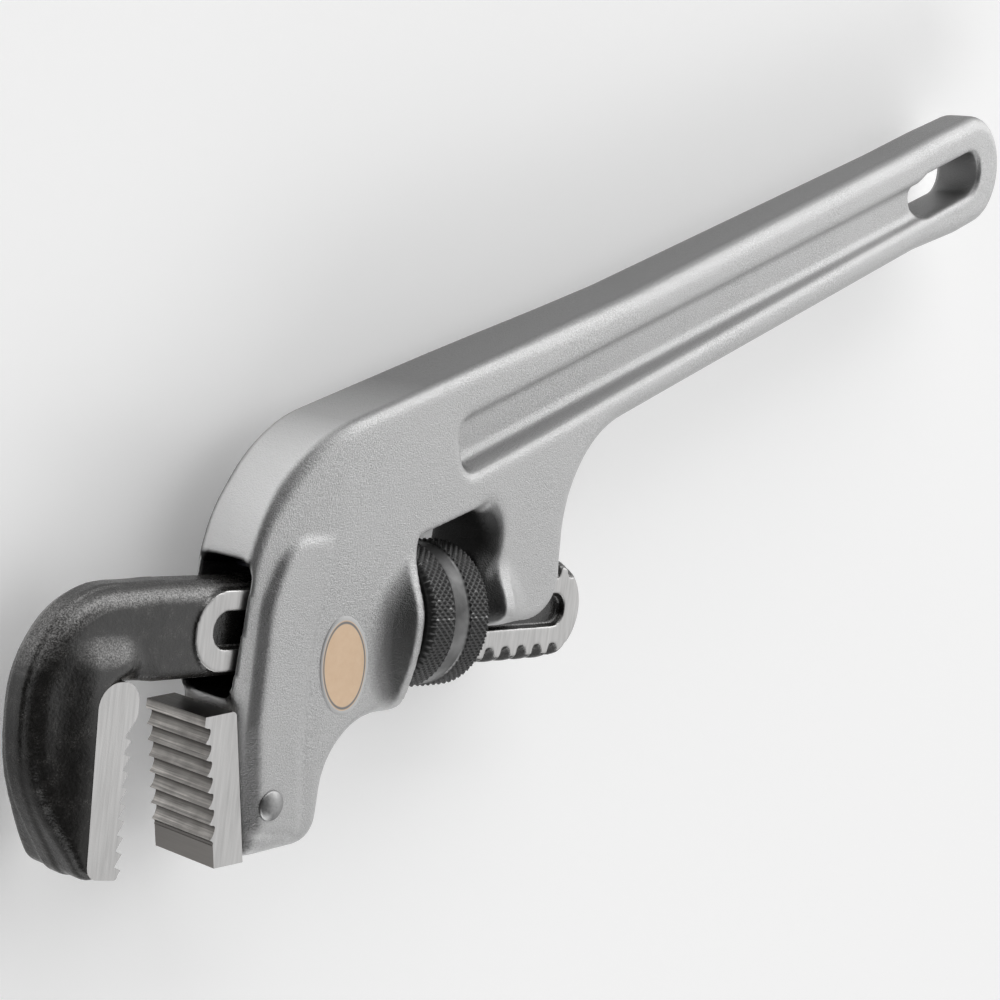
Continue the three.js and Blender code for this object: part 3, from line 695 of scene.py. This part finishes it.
def housing_field(g):
    handle_x = g.x * math.cos(HANDLE_ANGLE) + g.y * math.sin(HANDLE_ANGLE)
    handle_y = g.y * math.cos(HANDLE_ANGLE) - g.x * math.sin(HANDLE_ANGLE) - HANDLE_CENTRELINE
    tip = HANDLE_END_CENTRE + HANDLE_END_RADIUS
    taper = (SIDE - HANDLE_END_HALF_THICKNESS) / (tip - HANDLE_TAPER_START)
    thin = np.maximum(handle_x - HANDLE_TAPER_START, 0) * taper
    ahead = np.maximum(PAD_CREASE + 4 - g.x, 0)
    thin = thin + FRONT_THINNING * ahead**2 / (ahead + 5)
    side = g.across - (SIDE - thin)
    edge = 2.2 + 1.0 * ramp(handle_x, 10, 50) - 0.9 * ramp(g.x, 2, 10) * ramp(10 - g.y, 0, 8)
    edge = edge - 0.7 * ramp(-g.x, 36, 40)
    body = common(distance_to(housing_outline(), g.x, g.y), side, edge)
    above = g.across - SIDE - PAD_RISE
    pad = (distance_to(side_pad_outline(), g.x, g.y) - np.minimum(-above, 1.2)) * 0.75
    pad = common(pad, above, 0.4)
    body = join(body, pad, 0.25)

    inner = WINDOW_HALF_LENGTH
    out = np.hypot(np.where(g.y < 0, 0.62, 1) * g.y, g.z)
    climb = np.clip((g.x + inner + 8.2) / 6.2, -0.5, 1)
    left = common((out - (6.6 + 4.3 * climb)) * 0.82, -inner - 11 - g.x, 1.0)
    left = common(left, g.x + inner - 0.5, 0.5)
    left = common(left, -13.6 - g.y, 3.0)
    body = join(body, left, 2.4)
    out = np.hypot(g.y, g.z)
    stations = [6, 7.6, 9, 12, 14.4, 19.5, 24]
    swell = np.interp(g.x.ravel(), stations, [5.8, 6, 6.6, 10.4, 10.4, 6.8, 4])
    right = common((out - swell.reshape(g.x.shape)) * 0.75, 6.5 - g.x, 0.5)
    right = common(right, LUG_FLOOR - g.y, 3.0)
    body = join(body, right, 1.6)

    soft = 0.7 + 3.2 * ramp(g.x, 4, 9)
    body = cut(body, distance_to(window_outline(), g.x, g.y), soft)
    half = TUNNEL_HALF_WIDTH
    tunnel = distance_to(
        outline([
            (-half, TUNNEL_FLOOR, 2.8),
            (half, TUNNEL_FLOOR, 2.8),
            (half, TUNNEL_ROOF, 2.5),
            (-half, TUNNEL_ROOF, 2.5),
        ]),
        g.z,
        g.y,
    )
    lug = outline([
        (-half, -60, 0),
        (half, -60, 0),
        (half, LUG_ROOF, 2),
        (-half, LUG_ROOF, 2),
    ])
    lug = distance_to(lug, g.z, g.y - LUG_ROOF_RISE * ramp(g.x, 19, 24.5))
    body = cut(body, common(tunnel, g.x, 0), 0.6)
    body = cut(body, common(lug, -g.x, 0), 0.8)

    lean = (g.across - WEB_HALF_THICKNESS) * RECESS_WALL_LEAN
    floor_half = RECESS_HALF_WIDTH - (SIDE - WEB_HALF_THICKNESS) * RECESS_WALL_LEAN
    track = outline(racetrack(RECESS_START + 2, HANG_SLOT_END - 2, floor_half, RECESS_MIDDLE, 0.5))
    walls = distance_to(track, handle_x, handle_y) - np.minimum(lean, 2.6)
    recess = common(walls * 0.92, WEB_HALF_THICKNESS - g.across, 1.1)
    body = cut(body, recess, 1.1)
    slot = outline(racetrack(HANG_SLOT_START, HANG_SLOT_END, 4.4))
    return cut(body, distance_to(slot, handle_x, handle_y), 0.9)


def add_housing():
    grid = Grid((-45, -36, -13), (175, 113, 13), 0.535)
    return add_field_piece(
        "housing_casting", housing_field(grid), grid, CAST, "housing", "handle_housing"
    )


# ------------------------------------------------------------------ hook_jaw


def hook_field(g):
    outer = outline([
        (-53, 6.9, 0),
        (-69.2, 6.9, 13),
        (-75.9, -4.5, 17),
        (-75.7, -19, 28),
        (-66.0, -33.9, 4),
        (-61.6, -33.6, 0),
        (-61.6, -6.9, 0),
        (-53, -6.9, 0),
    ])
    away = distance_to(outer, g.x, g.y)
    past = np.hypot(np.maximum(np.abs(g.x + 64.7) - 1.7, 0), np.maximum(g.y + 5, 0))
    half = 4.4 + 1.9 * (1 - ramp(past, 0, 6.5))
    edge = 3.5 - 2.0 * ramp(-g.y, 10, 30)
    arm = common(away + 0.3, g.across - half, edge)
    seam = common(away, g.across - 1.6, 0.5)
    neck = distance_to(
        outline([
            (-NECK_HALF_WIDTH, -6.9, 2),
            (NECK_HALF_WIDTH, -6.9, 2),
            (NECK_HALF_WIDTH, 7, 3.4),
            (-NECK_HALF_WIDTH, 7, 3.4),
        ]),
        g.z,
        g.y,
    )
    neck = common(neck + 0.12 * np.maximum(-55 - g.x, 0), np.abs(g.x + 50) - 13, 1.0)
    body = join(join(arm, seam, 0.4), neck, 0.5)

    rail = outline([
        (RAIL_START, -RAIL_HALF_HEIGHT, RAIL_HALF_HEIGHT * 0.98),
        (THREAD_START - 4, -RAIL_HALF_HEIGHT, 0),
        (THREAD_START, -THREAD_TIP_RADIUS - 0.5, 0),
        (SHANK_TAIL + 1.5, -THREAD_TIP_RADIUS - 0.5, 0),
        (SHANK_TAIL + 1.5, THREAD_TIP_RADIUS + 0.6, 0),
        (-38, THREAD_TIP_RADIUS + 0.6, 0),
        (-38, RAIL_HALF_HEIGHT, 0),
        (RAIL_START, RAIL_HALF_HEIGHT, RAIL_HALF_HEIGHT * 0.98),
    ])
    side = distance_to(rail, g.x, g.y)
    out = np.hypot(g.y, g.z)
    upper = SHANK_RADIUS + (THREAD_TIP_RADIUS - SHANK_RADIUS) * ramp(g.x, 23, 25)
    limit = np.where(g.y < 0, THREAD_TIP_RADIUS, upper)
    limit = np.where((g.x < THREAD_START - 6) & (np.abs(g.y) < RAIL_HALF_HEIGHT + 0.2), 12, limit)
    shank = common(side, g.across - SHANK_HALF_WIDTH, 0.2)
    shank = common(shank, out - limit, 0.4)
    ball = np.hypot(np.maximum(g.x - TAIL_CENTRE, 0), out) - TAIL_RADIUS
    shank = common(shank, ball, 0.4)
    body = join(body, shank, 0.25)

    turn = np.arctan2(g.z, g.y) / (2 * math.pi)
    phase = (g.x - THREAD_OFFSET) / THREAD_PITCH - turn
    from_groove = np.abs(phase - np.round(phase)) * THREAD_PITCH
    groove = (from_groove - (0.75 + 0.41 * (out - THREAD_FLOOR_RADIUS))) * 0.92
    groove = common(groove, THREAD_FLOOR_RADIUS - out, 0.35)
    groove = common(groove, THREAD_START - 2 - g.x, 0)
    body = cut(body, groove, 0.25)

    half = SHANK_RECESS_HALF_HEIGHT
    track = outline(racetrack(SHANK_RECESS_START, SHANK_RECESS_END, half, 0.15))
    floor = SHANK_HALF_WIDTH - SHANK_RECESS_DEPTH
    recess = common(distance_to(track, g.x, g.y), floor - g.across, 0.5)
    return cut(body, recess, 0.3)


def hook_tooth_outline():
    teeth = []
    for i in range(HOOK_TEETH):
        tip = HOOK_TOOTH_START - i * HOOK_TOOTH_PITCH
        face = HOOK_FACE + i * HOOK_TOOTH_PITCH * HOOK_FACE_LEAN
        teeth += [
            (face - TOOTH_DEPTH - 0.15, tip + 0.5, 0.25),
            (face, tip, 0),
            (face - 0.5, tip - 0.7, 0.8),
        ]
    corners = [
        (-66.7, -5.7, 3.4),
        (-59.5, -5.7, 3.2),
        (-59.5, -10.8, 2),
        *teeth,
        (HOOK_FACE + 0.1, -33.7, 0.5),
        (-65.5, -32.9, 2.2),
    ]
    return outline(corners[::-1])


def add_hook_jaw():
    grid = Grid((-78, -37, -7), (40, 10, 7), 0.34)
    add_field_piece(
        "hook_forging", hook_field(grid), grid, JAW, "hook_jaw", "hook_jaw"
    )
    add_plate(
        "hook_tooth_block",
        hook_tooth_outline(),
        JAW_HALF_WIDTH,
        BLOCK_STEEL,
        "hook_jaw",
        bevel=TOOTH_BEVEL,
    )


# ------------------------------------------------------------------ heel_jaw


def heel_tooth_outline():
    teeth = []
    for i in range(HEEL_TEETH):
        tip = HEEL_TOOTH_START + i * HEEL_TOOTH_PITCH
        teeth += [
            (tip - 1.25, -HEEL_DEPTH + 0.98, 1.4),
            (tip - 0.42, -HEEL_DEPTH + 0.5, 1.0),
            (tip, -HEEL_DEPTH, 0),
            (tip + 0.3, -HEEL_DEPTH + 0.45, 0),
            (tip + 0.5, TOOTH_DEPTH - HEEL_DEPTH, 0.4),
        ]
    return outline(on_heel([
        (0, 0, 0.8),
        (-0.7, -HEEL_DEPTH + 0.3, 0),
        *teeth[2:],
        (HEEL_HEIGHT - 4.2, -HEEL_DEPTH + 0.5, 0),
        (HEEL_HEIGHT - 0.6, -HEEL_DEPTH + 0.5, 0),
        (HEEL_HEIGHT + 0.35, 0, 0),
    ]))


def add_heel_jaw():
    add_plate(
        "heel_jaw_head",
        heel_tooth_outline(),
        JAW_HALF_WIDTH,
        HEEL_STEEL,
        "housing",
        "heel_jaw",
        bevel=TOOTH_BEVEL,
    )
    tongue = outline(on_heel([(1.5, -3, 0), (21, -3, 0), (21, 11, 2), (1.5, 11, 2)]))
    add_plate("heel_jaw_tongue", tongue, 3.5, HEEL_STEEL, "housing", bevel=0.2)


# ----------------------------------------------------------- heel_jaw_pin


def add_pin():
    seat = SIDE
    head = [(seat, PIN_RADIUS, False), (seat + 0.2, PIN_HEAD_RADIUS, False)]
    for k in range(12):
        radius = (PIN_HEAD_RADIUS - 0.08) * (1 - k / 12)
        fall = (radius / PIN_HEAD_RADIUS) ** 2
        head.append((seat + 0.35 + 0.85 * (1 - fall), radius, False))
    head.append((seat + 1.2, 0.02, False))
    other = [(-along, radius, worked) for along, radius, worked in reversed(head)]
    profile = [*other, *head]
    piece = add_revolved(
        "heel_pin", profile, None, "z", 48, PIN, "housing", "heel_jaw_pin"
    )
    piece.data.transform(Matrix.Translation(Vector((*PIN_PLACE, 0)) * MM))


# ----------------------------------------------------------- adjusting_nut


def knurled(along, radius, angles):
    """Diamond knurl: two sets of crossing grooves round the nut."""
    pitch = 1.16
    count = round(2 * math.pi * NUT_RADIUS / pitch)
    lean = along / pitch * 0.9
    around = angles / (2 * math.pi) * count
    one = np.abs((around + lean) % 1 - 0.5) * 2
    other = np.abs((around - lean) % 1 - 0.5) * 2
    pyramid = np.minimum(1 - np.maximum(one, other), 0.62) / 0.62
    return radius - 0.36 * (1 - pyramid)


def nut_profile():
    end = NUT_HALF_LENGTH
    step = 0.2
    low, high = NUT_GROOVE
    floor = NUT_RADIUS - NUT_GROOVE_DEPTH
    profile = [(-end, NUT_BORE_RADIUS + 0.7, False), (-end, NUT_RADIUS - 1.1, False)]
    profile += [(x, NUT_RADIUS, True) for x in np.arange(-end + 0.55, low - 0.3, step)]
    profile += [(low - 0.25, NUT_RADIUS - 0.2, False), (low, floor, False)]
    profile += [(x, floor, False) for x in np.linspace(low + 0.3, high - 0.3, 5)]
    profile += [(high, floor, False), (high + 0.25, NUT_RADIUS - 0.2, False)]
    profile += [(x, NUT_RADIUS, True) for x in np.arange(high + 0.3, end - 0.5, step)]
    profile += [(end, NUT_RADIUS - 1.1, False), (end, NUT_BORE_RADIUS + 0.7, False)]
    profile += [(end - 0.7, NUT_BORE_RADIUS, False), (-end + 0.7, NUT_BORE_RADIUS, False)]
    return profile


def add_nut():
    segments = 640
    add_revolved(
        "nut_ring", nut_profile()[::-1], knurled, "x", segments, OXIDE, "nut", "adjusting_nut"
    )


# --------------------------------------------------------------------- label


def add_label(casting):
    """A thin film that follows the housing's side."""
    shape = casting.data
    tree = BVHTree.FromPolygons(
        [v.co for v in shape.vertices], [tuple(p.vertices) for p in shape.polygons]
    )
    rings, segments = 14, 96
    top, foot = [], []
    for ring in range(rings + 1):
        reach = ring / rings
        for i in range(segments if ring else 1):
            angle = 2 * math.pi * i / segments
            across = LABEL_HALF_SIZE[0] * reach * math.cos(angle)
            along = LABEL_HALF_SIZE[1] * reach * math.sin(angle)
            x, y = turned((across, along), HEEL_TILT)
            x, y = x + LABEL_PLACE[0], y + LABEL_PLACE[1]
            hit = tree.ray_cast(place(x, y, 20), Vector((0, 0, -1)))[0]
            level = (hit.z - ORIGIN.z) / MM
            top.append((x, y, level + (0.1 if ring < rings else 0.07)))
            foot.append((x, y, level - 0.06))
    count = len(top)
    faces = []
    for i in range(segments):
        j = (i + 1) % segments
        faces += [(0, 1 + i, 1 + j), (count, count + 1 + j, count + 1 + i)]
        for ring in range(rings - 1):
            a = 1 + ring * segments
            b = a + segments
            faces.append((a + i, b + i, b + j, a + j))
            faces.append((count + a + j, count + b + j, count + b + i, count + a + i))
        a = 1 + (rings - 1) * segments
        faces.append((a + i, count + a + i, count + a + j, a + j))
    add_piece("label_oval", top + foot, faces, LABEL, "housing", "label")


# ---------------------------------------------------------------- the studio


def add_camera():
    camera = bpy.data.objects.new("camera", bpy.data.cameras.new("camera"))
    camera.data.lens = CAMERA_LENS
    camera.data.sensor_width = 36
    camera.data.clip_start, camera.data.clip_end = 0.01, 20
    back = -Vector(CAMERA_AIM).normalized()
    right = Vector(CAMERA_UP).cross(back).normalized()
    axes = Matrix((right, back.cross(right), back)).transposed()
    camera.matrix_world = Matrix.Translation(place(*CAMERA_PLACE)) @ axes.to_4x4()
    bpy.context.scene.collection.objects.link(camera)
    bpy.context.scene.camera = camera


def add_floor():
    half = 4.0
    corners = [(-half, -half, 0), (half, -half, 0), (half, half, 0), (-half, half, 0)]
    mesh = bpy.data.meshes.new("floor")
    mesh.from_pydata(corners, [], [(0, 1, 2, 3)])
    floor = bpy.data.objects.new("floor", mesh)
    bpy.context.scene.collection.objects.link(floor)
    mesh.materials.append(floor_paper())


def add_light(name, direction, distance, size, power):
    """A square soft light, given by its direction from the object's middle."""
    light = bpy.data.lights.new(name, "AREA")
    light.shape = "RECTANGLE"
    light.size, light.size_y = size
    light.energy = power
    lamp = bpy.data.objects.new(name, light)
    toward = Vector(direction).normalized()
    lamp.location = toward * distance
    lamp.rotation_mode = "QUATERNION"
    lamp.rotation_quaternion = toward.to_track_quat("Z", "Y")
    bpy.context.scene.collection.objects.link(lamp)


def add_world():
    """An even studio, brighter behind the tool than over the camera."""
    world = bpy.data.worlds.new("studio")
    world.use_nodes = True
    tree = world.node_tree
    toward = tree.nodes.new("ShaderNodeTexCoord").outputs["Generated"]
    along = tree.nodes.new("ShaderNodeVectorMath")
    along.operation = "DOT_PRODUCT"
    tree.links.new(toward, along.inputs[0])
    along.inputs[1].default_value = (0.77, 0.1, 0.63)
    level = tree.nodes.new("ShaderNodeMapRange")
    level.interpolation_type = "SMOOTHSTEP"
    tree.links.new(along.outputs["Value"], level.inputs["Value"])
    limits = {"From Min": 0.45, "From Max": 0.94, "To Min": 0.05, "To Max": 1.05}
    for name, value in limits.items():
        level.inputs[name].default_value = value
    background = tree.nodes["Background"]
    background.inputs["Color"].default_value = (1, 1, 1, 1)
    tree.links.new(level.outputs[0], background.inputs["Strength"])
    bpy.context.scene.world = world


def add_lights():
    add_light("back_box", (0.74, 0.48, 0.46), 1.5, (0.8, 0.8), 4)
    add_light("left_box", (-0.15, -1, 0.42), 1.6, (2.0, 0.9), 15)
    add_light("right_box", (0.1, 1, 0.42), 1.6, (2.0, 0.9), 15)
    add_world()
    bpy.context.scene.view_settings.view_transform = "Standard"


# ------------------------------------------------------------------ assembly

add_camera()
add_floor()
add_lights()

CAST = cast_aluminium()
JAW = jaw_steel()
HEEL_STEEL = ground_steel(
    "heel_jaw_steel", HEEL_CORNER, HEEL_TILT, HEEL_TOOTH_START, HEEL_TOOTH_PITCH, HEEL_TEETH
)
BLOCK_STEEL = ground_steel(
    "tooth_block_steel", (HOOK_FACE, 0), 0, -HOOK_TOOTH_START, HOOK_TOOTH_PITCH, HOOK_TEETH
)
PIN = bright_steel()
OXIDE = black_oxide()
SPRING = spring_steel()
LABEL = label_film()

for name in ("flat_spring", "coil_spring", "spring_rivet"):
    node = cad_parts[name]
    node.data.materials.clear()
    node.data.materials.append(PIN if name == "spring_rivet" else SPRING)

casting = add_housing()
add_hook_jaw()
add_heel_jaw()
add_pin()
add_nut()
add_label(casting)
